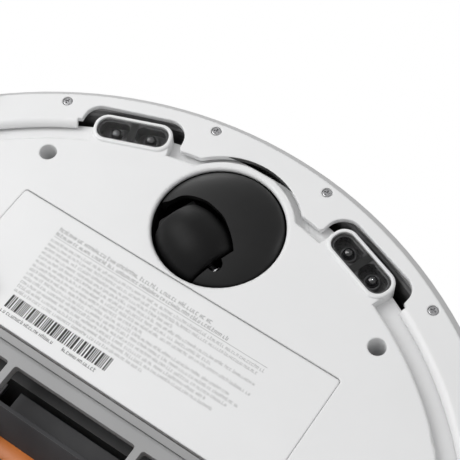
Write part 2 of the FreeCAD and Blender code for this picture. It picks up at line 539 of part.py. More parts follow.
# ---------------------------------------------------------------- side brush
sm = cyl(11.8, 11.6, 38, SIDE_X, SIDE_Y).fuse(cyl(8.6, 10.9, 12, SIDE_X, SIDE_Y)).cut(cyl(2.55, 5, 22.5, SIDE_X, SIDE_Y))
save("side_brush_motor", sm.removeSplitter())
hub = turn([(0, 5.4), (3.2, 5.4), (3.2, 3.6), (6.6, 3.6), (8.2, 5.2), (8.2, 7.4), (7.0, 8.6), (7.0, 10.4), (2.5, 10.4), (2.5, 21.5), (0, 21.5)], SIDE_X, SIDE_Y)
hub = hub.cut(cyl(1.25, 5, 13.5, SIDE_X, SIDE_Y))
save("side_brush_hub", hub)
arms = []
for a in (-100, 20, 140):
    q = rounded([(7.6, -3.6, 0), (20, -3.0, 4), (57.5, -1.6, 1.2), (57.5, 1.6, 1.2), (20, 3.0, 4), (7.6, 3.6, 0)], 4.0, 6.6)
    q = q.cut(cyl(8.2, 0, 10))
    q.rotate(V(0, 0, 0), Z, a)
    q.translate(V(SIDE_X, SIDE_Y, 0))
    arms.append(q)
save("side_brush_arms", Part.makeCompound(arms))
save("side_brush_screw", screw(SIDE_X, SIDE_Y, 3.7, True, 2.9, 1.7, 1.2, 7.6))

# ---------------------------------------------------------------- drive wheels
wy, wz = WHEEL_Y, WHEEL_R
pins, springs = [], []
for side, s in (("left", 1), ("right", -1)):
    def side_x(q, s=s):
        return q if s > 0 else mirror_x(q)
    well = cut(box(100.6, 132.6, -50, 46, 11.5, 72), [box(102.1, 131.1, -48.5, 44.5, 0, 70.5)])
    save("wheel_well_" + side, side_x(well))
    p0, p1 = (PIVOT_Y, PIVOT_Z), (wy, wz)
    dy, dz = p1[0] - p0[0], p1[1] - p0[1]
    ln = math.hypot(dy, dz)
    tilt = math.degrees(math.atan2(dz, dy))
    link = box(102.7, 107.0, 0, ln, -8.0, 10.5)
    link.rotate(V(0, 0, 0), V(1, 0, 0), tilt)
    link.translate(V(0, p0[0], p0[1]))
    arm = fuse([link, cylx(8.0, 102.7, 107.0, *p0), cylx(15.5, 102.7, 107.0, *p1), cylx(6.5, 107.0, 112.0, *p0)])
    arm = cut(arm, [cylx(2.55, 90, 120, *p0), cylx(3.05, 90, 120, *p1)])
    save("suspension_arm_" + side, side_x(arm.removeSplitter()))
    motor = cylx(15.0, 107.0, 117.0, *p1).cut(cylx(4.0, 90, 130, *p1))
    save("drive_motor_" + side, side_x(motor))
    pin = cylx(2.5, 102.1, 131.1, *p0)
    pins.append(side_x(pin))
    coil = []
    n = 9
    x0 = 113.4
    for k in range(n):
        coil += [(x0 + 1.5 * k, 5.9), (x0 + 1.5 * k + 0.75, 6.6)]
    coil.append((x0 + 1.5 * n, 5.9))
    prof = [V(x, p0[0] + r, p0[1]) for x, r in coil]
    prof = [V(x0, p0[0] + 4.4, p0[1])] + prof + [V(x0 + 1.5 * n, p0[0] + 4.4, p0[1])]
    spring = Part.Face(Part.makePolygon(prof + [prof[0]])).revolve(V(0, p0[0], p0[1]), V(1, 0, 0), 360)
    leg = box(x0 + 1.5 * n - 1.2, x0 + 1.5 * n, p0[0] - 8.4, p0[0] + 2 - 4.2, p0[1] + 4.5, p0[1] + 5.7)
    springs.append(side_x(spring.fuse(leg).removeSplitter()))
    hubw = cut(cylx(27.5, 108.6, 127.4, *p1), [cylx(24.8, 100, 118.6, *p1), cylx(20.5, 125.4, 130, *p1).cut(cylx(8.5, 100, 140, *p1))])
    hubw = hubw.fuse(cylx(3.0, 103.0, 119.0, *p1))
    for k in range(6):
        spoke = box(124.9, 127.4, -2.2, 2.2, 8, 22)
        spoke.rotate(V(0, 0, 0), V(1, 0, 0), k * 60)
        spoke.translate(V(0, *p1))
        hubw = hubw.fuse(spoke)
    save("drive_hub_" + side, side_x(hubw.removeSplitter()))
    t = turn([(27.5, -10.0), (32.4, -10.0), (33.6, -8.6), (34.0, -7.0), (34.0, 7.0), (33.6, 8.6), (32.4, 10.0), (27.5, 10.0)])
    grooves = []
    for k in range(28):
        g = box(30.9, 36, -1.5, 1.5, -12, 12)
        g.rotate(V(0, 0, 0), V(1, 0, 0), 20)
        g.rotate(V(0, 0, 0), Z, k * 360.0 / 28)
        grooves.append(g)
    t = t.cut(Part.makeCompound(grooves))
    t.rotate(V(0, 0, 0), V(0, 1, 0), 90)
    t.translate(V(WHEEL_X, wy, wz))
    save("drive_tyre_" + side, side_x(t))
save("suspension_pins", Part.makeCompound(pins))
save("suspension_springs", Part.makeCompound(springs))

# ---------------------------------------------------------------- fan
fh = turn([(12, 20.5), (26, 20.5), (26, 58), (0, 58), (0, 56.2), (24.4, 56.2), (24.4, 22.1), (12, 22.1)], FAN_X, FAN_Y)
fh = fh.fuse(cyl(11, 52.2, 57, FAN_X, FAN_Y)).cut(cyl(2.05, 50, 57, FAN_X, FAN_Y))
outlet = box(0, 22, -9, 9, 34, 50)
outlet.rotate(V(0, 0, 0), Z, fan_az - 90)
outlet.translate(V(FAN_X, FAN_Y, 0))
inlet = box(78, FAN_X - 10, FAN_Y - 11, FAN_Y + 11, 26, 44)
fh = fh.fuse(cut(box(77.9, 84, FAN_Y - 12.4, FAN_Y + 12.4, 24.6, 45.4), [cyl(25, 0, 60, FAN_X, FAN_Y)]))
mouth = box(20, 40, -9, 9, 34, 50)
mouth.rotate(V(0, 0, 0), Z, fan_az - 90)
mouth.translate(V(FAN_X, FAN_Y, 0))
fh = cut(fh, [inlet.cut(cyl(23, 0, 80, FAN_X, FAN_Y)), mouth])
save("fan_housing", fh.removeSplitter())
imp = turn([(0, 24.5), (20.5, 24.5), (20.5, 26.0), (8, 27.5), (5, 46), (5, 50.5), (2.0, 50.5), (2.0, 55.6), (0, 55.6)], FAN_X, FAN_Y)
for k in range(9):
    v = box(4.5, 20.5, -0.6, 0.6, 25.5, 44)
    v = v.cut(turn([(4, 46), (21, 36), (21, 50), (4, 50)]))
    v.rotate(V(0, 0, 0), Z, k * 40)
    v.translate(V(FAN_X, FAN_Y, 0))
    imp = imp.fuse(v)
save("fan_impeller", imp.removeSplitter())

# ---------------------------------------------------------------- dust bin and its bay
body_cyl = cyl(R_BODY, 0, 100)
bay = box(-77.8, 77.8, 59.6, 180, 19.8, 71.6).common(cyl(R_BODY - 2.5, 0, 100))
bay = cut(bay, [box(-76.2, 76.2, 61.4, 200, 20.9, 70.2), box(-32, 32, 50, 70, 33, 51), box(70, 80, FAN_Y - 11, FAN_Y + 11, 26, 44)])
save("bin_bay", bay)
outer = box(-BIN_X, BIN_X, BIN_Y0, 180, BIN_Z0, BIN_Z1).common(body_cyl)
rear_edges = [e for e in outer.Edges if e.BoundBox.YMin > 150 and e.BoundBox.XMax - e.BoundBox.XMin > 100]
outer = outer.makeFillet(1.2, rear_edges)
cavity = box(-73.8, 73.8, BIN_Y0 + 1.8, 180, BIN_Z0 + 1.8, 67.0).common(cyl(R_BODY - 2.4, 0, 100))
lid_seat = box(-74.4, 74.4, BIN_Y0 + 1.2, 180, 67.0, 75).common(cyl(R_BODY - 2.2, 0, 100))
latch_box = box(-17, 17, 158, 180, 49, 67).common(cyl(R_BODY - 1, 0, 100))
latch_hole = box(-13.4, 13.4, 164, 180, 51.6, 63.4)
bin_body = cut(outer, [cavity, lid_seat]).fuse(latch_box)
bin_body = cut(bin_body, [latch_hole, box(-31, 31, 50, 70, 34, 50), box(60, 80, FAN_Y - 10, FAN_Y + 10, 27, 43),
                          rrect(0, 176.6, 62, 9, 4.4, 20, 30)])
save("bin_body", bin_body.removeSplitter())
lid = box(-74.2, 74.2, BIN_Y0 + 1.4, 180, 67.05, 69.4).common(cyl(R_BODY - 2.4, 0, 100))
save("bin_lid", lid)
pleats = []
for k in range(15):
    pleats += [(66.0 if k % 2 else 72.6, FAN_Y - 21 + 3.0 * k)]
back = [(y0 + 1.0, y1) for y0, y1 in reversed(pleats)]
fl = Part.makePolygon([V(x, y, 26.0) for x, y in pleats + back + [pleats[0]]])
filt = Part.Face(fl).extrude(V(0, 0, 20))
rim = cut(box(65.6, 73.7, FAN_Y - 23, FAN_Y + 23, 24.2, 48), [box(60, 80, FAN_Y - 21.2, FAN_Y + 21.2, 26, 46)])
save("bin_filter", rim.fuse(filt).removeSplitter())
latch = box(-13.0, 13.0, 168, 180, 52.0, 63.0).common(cyl(R_BODY - 0.4, 0, 100))
latch = latch.cut(box(-10, 10, 160, 172.4, 54, 61))
for k in range(-3, 4):
    latch = latch.cut(rrect(k * 2.6, 175.0, 0.9, 2.2, 0.4, 54.0, 61.0))
save("bin_latch", latch.removeSplitter())

# ---------------------------------------------------------------- electronics and contacts
pcb = box(-56, 56, -107, -30, 60, 61.6)
pcb = pcb.fuse(box(-18, 4, -75, -53, 61.6, 63.2)).fuse(box(20, 32, -88, -76, 61.6, 63.0)).fuse(box(-46, -34, -60, -40, 61.6, 70))
for k in range(5):
    pcb = pcb.fuse(box(-50 + k * 20, -40 + k * 20, -106, -101, 61.6, 67.0))
for k in range(4):
    pcb = pcb.fuse(cyl(4.0, 61.6, 71.0, 12 + k * 10.5, -40))
for s in (1, -1):
    pcb = pcb.fuse(cyl(3.0, 49.0, 60.0, s * 51, -36)).fuse(cyl(3.0, 13.5, 60.0, s * 70 - s * 18.5, -103.2))
save("main_board", pcb.removeSplitter())
contacts = []
for s in (1, -1):
    q = rrect(s * CONTACT[0], CONTACT[1], 22.0, 9.0, 1.8, 8.6, 12.2)
    contacts.append(q.makeFillet(0.5, [e for e in q.Edges if e.BoundBox.ZMax < 8.61]))
save("charging_contacts", Part.makeCompound(contacts))
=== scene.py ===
import bpy, bmesh, json, math, random
from mathutils import Vector, Matrix

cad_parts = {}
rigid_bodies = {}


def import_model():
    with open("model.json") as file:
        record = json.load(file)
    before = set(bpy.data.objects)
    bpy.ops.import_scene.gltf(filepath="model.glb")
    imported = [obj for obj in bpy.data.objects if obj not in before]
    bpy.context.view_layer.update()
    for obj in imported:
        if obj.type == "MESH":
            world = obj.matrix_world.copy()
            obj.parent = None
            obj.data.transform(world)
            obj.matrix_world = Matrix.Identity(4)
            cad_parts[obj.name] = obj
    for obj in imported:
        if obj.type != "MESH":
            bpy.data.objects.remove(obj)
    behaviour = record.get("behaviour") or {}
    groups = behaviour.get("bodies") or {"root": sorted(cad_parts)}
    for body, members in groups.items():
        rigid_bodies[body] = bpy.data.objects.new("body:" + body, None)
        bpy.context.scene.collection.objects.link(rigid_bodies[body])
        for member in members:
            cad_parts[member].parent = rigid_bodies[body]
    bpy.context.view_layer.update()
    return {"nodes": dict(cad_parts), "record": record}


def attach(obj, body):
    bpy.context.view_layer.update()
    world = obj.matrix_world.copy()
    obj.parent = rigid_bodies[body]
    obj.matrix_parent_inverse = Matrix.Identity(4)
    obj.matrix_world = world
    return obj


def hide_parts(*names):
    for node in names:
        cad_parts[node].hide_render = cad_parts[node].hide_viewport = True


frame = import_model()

N = frame["nodes"]
scene = bpy.context.scene
MM = 0.001


# ------------------------------------------------------------------ materials
def new_mat(name):
    m = bpy.data.materials.new(name)
    m.use_nodes = True
    nt = m.node_tree
    for n in list(nt.nodes):
        if n.type not in ("BSDF_PRINCIPLED", "OUTPUT_MATERIAL"):
            nt.nodes.remove(n)
    b = next(n for n in nt.nodes if n.type == "BSDF_PRINCIPLED")
    o = next(n for n in nt.nodes if n.type == "OUTPUT_MATERIAL")
    nt.links.new(b.outputs[0], o.inputs[0])
    return m, nt, b


def node(nt, kind, **props):
    n = nt.nodes.new(kind)
    for k, v in props.items():
        if k in n.inputs:
            n.inputs[k].default_value = v
        else:
            setattr(n, k, v)
    return n


def ramp(nt, fac, stops):
    r = nt.nodes.new("ShaderNodeValToRGB")
    e = r.color_ramp.elements
    e[0].position, e[0].color = stops[0][0], (*stops[0][1], 1)
    e[1].position, e[1].color = stops[-1][0], (*stops[-1][1], 1)
    for p, c in stops[1:-1]:
        x = e.new(p)
        x.color = (*c, 1)
    nt.links.new(fac, r.inputs[0])
    return r.outputs[0]


def grey(v):
    return (v, v, v)


def plastic(name, lo, hi, rough, rough_var=0.06, grain=2600.0, grain_bump=0.00002, mottle=35.0, coat=0.0, spec=0.5, edge=0.0004):
    """Moulded plastic: a slow mottle in the colour, a fine spark-eroded grain in the bump and the gloss."""
    m, nt, b = new_mat(name)
    tc = nt.nodes.new("ShaderNodeTexCoord")
    slow = node(nt, "ShaderNodeTexNoise", Scale=mottle, Detail=4.0, Roughness=0.55)
    fine = node(nt, "ShaderNodeTexNoise", Scale=grain, Detail=2.0, Roughness=0.6)
    smear = node(nt, "ShaderNodeTexNoise", Scale=mottle * 4, Detail=6.0, Roughness=0.65)
    for t in (slow, fine, smear):
        nt.links.new(tc.outputs["Object"], t.inputs["Vector"])
    c = ramp(nt, slow.outputs["Fac"], [(0.3, lo), (0.7, hi)])
    nt.links.new(c, b.inputs["Base Color"])
    mr = node(nt, "ShaderNodeMapRange")
    mr.inputs["From Min"].default_value = 0.3
    mr.inputs["From Max"].default_value = 0.7
    mr.inputs["To Min"].default_value = rough - rough_var
    mr.inputs["To Max"].default_value = rough + rough_var
    nt.links.new(smear.outputs["Fac"], mr.inputs["Value"])
    nt.links.new(mr.outputs["Result"], b.inputs["Roughness"])
    bp = node(nt, "ShaderNodeBump", Strength=0.35, Distance=grain_bump)
    nt.links.new(fine.outputs["Fac"], bp.inputs["Height"])
    if edge:
        bv = nt.nodes.new("ShaderNodeBevel")
        bv.samples = 6
        bv.inputs["Radius"].default_value = edge
        nt.links.new(bv.outputs["Normal"], bp.inputs["Normal"])
    nt.links.new(bp.outputs["Normal"], b.inputs["Normal"])
    b.inputs["Specular IOR Level"].default_value = spec
    if coat:
        b.inputs["Coat Weight"].default_value = coat
        b.inputs["Coat Roughness"].default_value = 0.12
    return m


def metal(name, lo, hi, rough, scale=900.0, bump=0.00001, stretch=(1, 1, 1)):
    m, nt, b = new_mat(name)
    tc = nt.nodes.new("ShaderNodeTexCoord")
    mp = nt.nodes.new("ShaderNodeMapping")
    mp.inputs["Scale"].default_value = stretch
    nt.links.new(tc.outputs["Object"], mp.inputs["Vector"])
    t = node(nt, "ShaderNodeTexNoise", Scale=scale, Detail=5.0, Roughness=0.6)
    nt.links.new(mp.outputs[0], t.inputs["Vector"])
    nt.links.new(ramp(nt, t.outputs["Fac"], [(0.3, lo), (0.7, hi)]), b.inputs["Base Color"])
    b.inputs["Metallic"].default_value = 1.0
    mr = node(nt, "ShaderNodeMapRange")
    mr.inputs["To Min"].default_value = rough * 0.75
    mr.inputs["To Max"].default_value = rough * 1.25
    nt.links.new(t.outputs["Fac"], mr.inputs["Value"])
    nt.links.new(mr.outputs["Result"], b.inputs["Roughness"])
    bp = node(nt, "ShaderNodeBump", Strength=0.4, Distance=bump)
    nt.links.new(t.outputs["Fac"], bp.inputs["Height"])
    nt.links.new(bp.outputs["Normal"], b.inputs["Normal"])
    return m


M = {}
M["white"] = plastic("white_satin_plastic", (0.800, 0.802, 0.805), (0.820, 0.822, 0.825), 0.42, 0.04, edge=0.0011)
M["white_gloss"] = plastic("white_gloss_plastic", (0.82, 0.822, 0.825), (0.84, 0.842, 0.845), 0.24, 0.03, coat=0.3)
M["grey"] = plastic("grey_satin_plastic", (0.305, 0.305, 0.307), (0.335, 0.335, 0.337), 0.40, 0.05)
M["black"] = plastic("black_semi_gloss", (0.012, 0.012, 0.0125), (0.020, 0.020, 0.0205), 0.34, 0.05, grain=4200, grain_bump=0.00003)
M["black_gloss"] = plastic("black_gloss", (0.010, 0.010, 0.0105), (0.016, 0.016, 0.0165), 0.16, 0.03)
M["skirt"] = plastic("skirt_gloss_black", (0.105, 0.105, 0.106), (0.125, 0.125, 0.126), 0.24, 0.02, grain_bump=0.0, edge=0, spec=0.35)
M["dark"] = plastic("dark_grey_plastic", (0.030, 0.030, 0.031), (0.045, 0.045, 0.046), 0.45, 0.06)
M["steel"] = metal("zinc_plated_steel", (0.42, 0.42, 0.43), (0.58, 0.58, 0.59), 0.32)
M["contact"] = metal("contact_plate", (0.62, 0.58, 0.50), (0.74, 0.70, 0.62), 0.24, stretch=(1, 12, 1))


def glass(name, tint, rough, alpha=0.35):
    m, nt, b = new_mat(name)
    tc = nt.nodes.new("ShaderNodeTexCoord")
    t = node(nt, "ShaderNodeTexNoise", Scale=60.0, Detail=3.0)
    nt.links.new(tc.outputs["Object"], t.inputs["Vector"])
    nt.links.new(ramp(nt, t.outputs["Fac"], [(0.3, tint), (0.7, tuple(min(1, c * 1.12) for c in tint))]), b.inputs["Base Color"])
    b.inputs["Transmission Weight"].default_value = 1.0
    b.inputs["Roughness"].default_value = rough
    b.inputs["IOR"].default_value = 1.49
    return m


M["smoked"] = plastic("smoked_window", (0.02, 0.02, 0.021), (0.03, 0.03, 0.031), 0.06, 0.02, grain_bump=0.0, edge=0, spec=0.7)

def lens_mat(name, lo, hi, alpha, rough, spec):
    """Thin clear sheet: mostly see-through, with its own reflection."""
    m, nt, b = new_mat(name)
    tc = nt.nodes.new("ShaderNodeTexCoord")
    t = node(nt, "ShaderNodeTexNoise", Scale=90.0, Detail=3.0)
    nt.links.new(tc.outputs["Object"], t.inputs["Vector"])
    nt.links.new(ramp(nt, t.outputs["Fac"], [(0.3, lo), (0.7, hi)]), b.inputs["Base Color"])
    mr = node(nt, "ShaderNodeMapRange")
    mr.inputs["To Min"].default_value = rough * 0.8
    mr.inputs["To Max"].default_value = rough * 1.2
    nt.links.new(t.outputs["Fac"], mr.inputs["Value"])
    nt.links.new(mr.outputs["Result"], b.inputs["Roughness"])
    b.inputs["Alpha"].default_value = alpha
    b.inputs["Specular IOR Level"].default_value = spec
    return m


M["clear"] = lens_mat("clear_window", (0.004, 0.004, 0.004), (0.007, 0.007, 0.007), 0.10, 0.05, 0.35)
M["bin"] = glass("smoked_bin", (0.30, 0.30, 0.31), 0.08)
M["emitter"] = glass("clear_dome", (0.75, 0.76, 0.80), 0.03)
M["rubber"] = plastic("tyre_rubber", (0.018, 0.018, 0.018), (0.030, 0.030, 0.030), 0.75, 0.08, grain=1800, grain_bump=0.00006, spec=0.3)
M["orange"] = plastic("brush_core_plastic", (0.55, 0.16, 0.03), (0.62, 0.19, 0.04), 0.4)
M["fin"] = plastic("fin_rubber_soft", (0.03, 0.03, 0.033), (0.05, 0.05, 0.053), 0.6)
M["board"] = plastic("solder_mask", (0.006, 0.06, 0.02), (0.01, 0.09, 0.03), 0.3)
M["wrap"] = plastic("battery_wrap", (0.03, 0.05, 0.16), (0.04, 0.065, 0.20), 0.3)
M["paper"] = plastic("filter_paper", (0.72, 0.72, 0.68), (0.80, 0.80, 0.76), 0.9, 0.04, spec=0.1)

SLOT = {
    "white_shell": "white", "white_gloss": "white_gloss", "grey_cover": "grey", "black_plastic": "black", "dark_grey": "dark",
    "smoked_lens": "smoked", "smoked_bin": "bin", "emitter": "emitter", "steel": "steel", "tyre_rubber": "rubber",
    "fin_rubber": "fin", "bristle": "dark", "brush_roller": "orange", "board": "board", "battery_wrap": "wrap",
    "filter_paper": "paper", "contact_metal": "contact", "button_plastic": "white_gloss",
}
slot_of = {s["node"]: s["material_slot"] for s in frame["record"]["subparts"]}


def paint(obj, m):
    obj.data.materials.clear()
    obj.data.materials.append(m)


def with_painted_shade_band(m, name, r_in, z_top, shade, above=None):
    """Copy of a plastic with a darker band outside radius r_in and below z_top: painted shade on the downward-facing
    lower edge, where the floor would shade it.
    """
    m = m.copy()
    m.name = name
    nt = m.node_tree
    b = next(n for n in nt.nodes if n.type == "BSDF_PRINCIPLED")
    src = b.inputs["Base Color"].links[0].from_socket
    tc = next(n for n in nt.nodes if n.type == "TEX_COORD")
    sep = nt.nodes.new("ShaderNodeSeparateXYZ")
    nt.links.new(tc.outputs["Object"], sep.inputs[0])
    def math_node(op, a, b2):
        q = nt.nodes.new("ShaderNodeMath")
        q.operation = op
        for k, val in enumerate((a, b2)):
            if isinstance(val, float):
                q.inputs[k].default_value = val
            else:
                nt.links.new(val, q.inputs[k])
        return q.outputs[0]
    r2 = math_node("ADD", math_node("MULTIPLY", sep.outputs[0], sep.outputs[0]), math_node("MULTIPLY", sep.outputs[1], sep.outputs[1]))
    out_r = math_node("GREATER_THAN", math_node("POWER", r2, 0.5), r_in)
    low = math_node("LESS_THAN", sep.outputs[2], z_top)
    fac = math_node("MULTIPLY", out_r, low)
    mixc = nt.nodes.new("ShaderNodeMix")
    mixc.data_type = "RGBA"
    nt.links.new(fac, mixc.inputs["Factor"])
    nt.links.new(src, mixc.inputs[6])
    # painted shade colour of the band
    mixc.inputs[7].default_value = (shade, shade, shade * 1.003, 1)
    nt.links.new(mixc.outputs[2], b.inputs["Base Color"])
    return m


for n, o in N.items():
    paint(o, M[SLOT[slot_of[n]]])
# painted shade: a darker band on the lower outer edge of the bumper and rear shells
M["white_banded"] = with_painted_shade_band(M["white"], "white_shell_banded", 0.1722, 0.0126, 0.60)
for n in ("bumper_shell", "rear_shell"):
    paint(N[n], M["white_banded"])


def with_painted_shade_wall(m, name):
    """Copy of the shell plastic whose cut wall in front of the caster is painted dark: painted shade standing in for
    the shadowed gap a wider, tapered opening would show, masked along a line of sight sloping 0.636 outward per unit of
    height.
    """
    m = m.copy()
    m.name = name
    nt = m.node_tree
    b = next(n for n in nt.nodes if n.type == "BSDF_PRINCIPLED")
    src = b.inputs["Base Color"].links[0].from_socket
    tc = next(n for n in nt.nodes if n.type == "TEX_COORD")
    sep = nt.nodes.new("ShaderNodeSeparateXYZ")
    nt.links.new(tc.outputs["Object"], sep.inputs[0])

    def mn(op, a, b2):
        q = nt.nodes.new("ShaderNodeMath")
        q.operation = op
        for k, val in enumerate((a, b2)):
            if isinstance(val, float):
                q.inputs[k].default_value = val
            else:
                nt.links.new(val, q.inputs[k])
        return q.outputs[0]
    x2 = mn("MULTIPLY", sep.outputs[0], sep.outputs[0])
    r = mn("POWER", mn("ADD", x2, mn("MULTIPLY", sep.outputs[1], sep.outputs[1])), 0.5)
    yc = mn("ADD", sep.outputs[1], 0.1307)
    rc = mn("POWER", mn("ADD", x2, mn("MULTIPLY", yc, yc)), 0.5)
    reach = mn("SUBTRACT", r, mn("MULTIPLY", mn("SUBTRACT", sep.outputs[2], 0.0096), 0.636))
    fac = mn("MULTIPLY", mn("MULTIPLY", mn("LESS_THAN", rc, 0.0328), mn("GREATER_THAN", sep.outputs[2], 0.00972)),
             mn("MULTIPLY", mn("GREATER_THAN", reach, 0.1596), mn("LESS_THAN", sep.outputs[1], -0.150)))
    mixc = nt.nodes.new("ShaderNodeMix")
    mixc.data_type = "RGBA"
    nt.links.new(fac, mixc.inputs["Factor"])
    nt.links.new(src, mixc.inputs[6])
    # painted shade colour of the cut wall
    mixc.inputs[7].default_value = (0.036, 0.036, 0.0363, 1)
    nt.links.new(mixc.outputs[2], b.inputs["Base Color"])
    return m


# painted shade: the bumper's cut wall in front of the caster is painted dark, on top of the painted shade band
M["bumper_white"] = with_painted_shade_wall(M["white_banded"], "bumper_shell_white")
paint(N["bumper_shell"], M["bumper_white"])
paint(N["bumper_liner"], M["skirt"])
paint(N["front_wall"], M["black_gloss"])

# ------------------------------------------------------------------ piece helpers
random.seed(7)


def make(name, verts, faces, mat, body, smooth=True, bevel=0.0, segs=2, angle=35.0, place=None):
    """A mesh piece in millimetres, put in place and joined to its body."""
    me = bpy.data.meshes.new(name)
    me.from_pydata([(x * MM, y * MM, z * MM) for x, y, z in verts], [], faces)
    bm = bmesh.new()
    bm.from_mesh(me)
    if place is not None:
        bmesh.ops.transform(bm, matrix=place, verts=bm.verts)
    bmesh.ops.recalc_face_normals(bm, faces=bm.faces)
    bm.to_mesh(me)
    bm.free()
    me.shade_smooth() if smooth else me.shade_flat()
    if smooth:
        me.set_sharp_from_angle(angle=math.radians(angle))
    o = bpy.data.objects.new(name, me)
    scene.collection.objects.link(o)
    o.data.materials.append(mat)
    if bevel:
        mod = o.modifiers.new("edges", "BEVEL")
        mod.width = bevel * MM
        mod.segments = segs
        mod.limit_method = "ANGLE"
        mod.angle_limit = math.radians(angle)
        mod.harden_normals = True
    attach(o, body)
    return o


def prism(outline, z0, z1):
    n = len(outline)
    v = [(x, y, z0) for x, y in outline] + [(x, y, z1) for x, y in outline]
    f = [tuple(range(n))[::-1], tuple(range(n, 2 * n))] + [(i, (i + 1) % n, n + (i + 1) % n, n + i) for i in range(n)]
    return v, f


def spun(profile, segs=96):
    """Closed (r, z) outline turned round Z; points with r = 0 are shared."""
    v, rings = [], []
    for r, z in profile:
        if r < 1e-6:
            rings.append([len(v)] * segs)
            v.append((0, 0, z))
        else:
            rings.append(list(range(len(v), len(v) + segs)))
            v += [(r * math.cos(2 * math.pi * i / segs), r * math.sin(2 * math.pi * i / segs), z) for i in range(segs)]
    f = []
    m = len(rings)
    closed = profile[0][0] > 1e-6 or profile[-1][0] > 1e-6
    for k in range(m if closed else m - 1):
        a, b = rings[k], rings[(k + 1) % m]
        for i in range(segs):
            j = (i + 1) % segs
            q = []
            for t in (a[i], a[j], b[j], b[i]):
                if t not in q:
                    q.append(t)
            if len(q) > 2:
                f.append(tuple(q))
    return v, f


def curve(points, steps=6):
    """Smooth curve through the points."""
    out = []
    p = [points[0]] + list(points) + [points[-1]]
    for i in range(1, len(p) - 2):
        for k in range(steps):
            t = k / steps
            out.append(tuple(0.5 * (2 * p[i][c] + (p[i + 1][c] - p[i - 1][c]) * t
                                    + (2 * p[i - 1][c] - 5 * p[i][c] + 4 * p[i + 1][c] - p[i + 2][c]) * t * t
                                    + (3 * p[i][c] - p[i - 1][c] - 3 * p[i + 1][c] + p[i + 2][c]) * t ** 3) for c in range(2)))
    out.append(tuple(points[-1]))
    return out


def arc2(cx, cy, r, a0, a1, n=12):
    return [(cx + r * math.cos(math.radians(a0 + (a1 - a0) * i / n)), cy + r * math.sin(math.radians(a0 + (a1 - a0) * i / n))) for i in range(n + 1)]


def round_rect(w, h, r, n=8):
    return (arc2(w / 2 - r, h / 2 - r, r, 0, 90, n) + arc2(-w / 2 + r, h / 2 - r, r, 90, 180, n)
            + arc2(-w / 2 + r, -h / 2 + r, r, 180, 270, n) + arc2(w / 2 - r, -h / 2 + r, r, 270, 360, n))


def cut_with(o, verts, faces, place=None):
    """Cuts the mesh with a solid, for good."""
    me = bpy.data.meshes.new("cutter")
    me.from_pydata([(x * MM, y * MM, z * MM) for x, y, z in verts], [], faces)
    bm = bmesh.new()
    bm.from_mesh(me)
    if place is not None:
        bmesh.ops.transform(bm, matrix=place, verts=bm.verts)
    bmesh.ops.recalc_face_normals(bm, faces=bm.faces)
    bm.to_mesh(me)
    bm.free()
    c = bpy.data.objects.new("cutter", me)
    scene.collection.objects.link(c)
    mod = o.modifiers.new("cut", "BOOLEAN")
    mod.operation = "DIFFERENCE"
    mod.solver = "EXACT"
    mod.object = c
    for i, m in enumerate(o.modifiers):
        if m.name == "cut" and i > 0:
            o.modifiers.move(i, 0)
    bpy.context.view_layer.update()
    others = [m for m in o.modifiers if m.name != "cut"]
    shown = [m.show_viewport for m in others]
    for m in others:
        m.show_viewport = False
    dg = bpy.context.evaluated_depsgraph_get()
    new = bpy.data.meshes.new_from_object(o.evaluated_get(dg))
    for m, s in zip(others, shown):
        m.show_viewport = s
    o.modifiers.remove(mod)
    new.shade_smooth()
    new.set_sharp_from_angle(angle=math.radians(35))
    o.data = new
    bpy.data.objects.remove(c)
    bpy.data.meshes.remove(me)


# ------------------------------------------------------------------ caster: smooth dome, its frame, the wheel, the clip
CX, CY, CANG = 0.0, -130.7, math.radians(21.0)
AT_CASTER = Matrix.Translation((CX * MM, CY * MM, 0)) @ Matrix.Rotation(CANG, 4, "Z")
TRAIL, CZ = 11.0, 13.5
M["caster_black"] = plastic("caster_dome_plastic", (0.0058, 0.0058, 0.006), (0.008, 0.008, 0.0082), 0.43, 0.03, grain=5200, grain_bump=0.00002, edge=0, mottle=60, spec=0.36)
M["wheel_black"] = plastic("caster_wheel_plastic", (0.0055, 0.0055, 0.0057), (0.008, 0.008, 0.0082), 0.50, 0.04, grain=3200, grain_bump=0.00001, edge=0, mottle=80, spec=0.16)
out_p = [(0.0, 4.7)]
for t in range(3, 88, 3):
    out_p.append((25.45 * math.sin(math.radians(t)), 11.9 - 7.2 * math.cos(math.radians(t)) ** 0.85))
out_p += [(25.65, 12.6), (25.7, 13.4), (25.7, 15.5)]
in_p = [(23.6, 15.5), (23.6, 13.4)]
for t in range(84, 0, -4):
    in_p.append((23.2 * math.sin(math.radians(t)), 13.8 - 7.0 * math.cos(math.radians(t)) ** 0.85))
in_p.append((0.0, 6.8))
v, f = spun(out_p + in_p, 180)
dome = make("caster_dome", v, f, M["caster_black"], "caster", place=AT_CASTER)
lead = curve([(-27.0, 14.5), (-20.4, 10.2), (-18.6, 4.9), (-15.5, 1.5), (-10.2, -1.35), (-5.0, -2.35), (0.0, -2.6), (6.0, -1.1), (10.6, 0.7), (13.7, 2.4)], 8)
notch = arc2(13.6, 11.0, 3.0, -90, 90, 14)
opening = lead + notch + [(13.7, 32.0), (-27.0, 32.0)]
v, f = prism(opening, -2, 17)
cut_with(dome, v, f, AT_CASTER)
mod = dome.modifiers.new("edges", "BEVEL")
mod.width = 0.35 * MM
mod.segments = 3
mod.limit_method = "ANGLE"
mod.angle_limit = math.radians(40)
mod.harden_normals = True
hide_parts("caster_carriage")
v, f = spun([(0, 29.2), (22.5, 29.2), (22.5, 31.6), (0, 31.6)], 96)
make("caster_top_disc", v, f, M["caster_black"], "caster", place=AT_CASTER)


def clip_poly(pts, r):
    return [(x, y) if math.hypot(x, y) <= r else (x * r / math.hypot(x, y), y * r / math.hypot(x, y)) for x, y in pts]


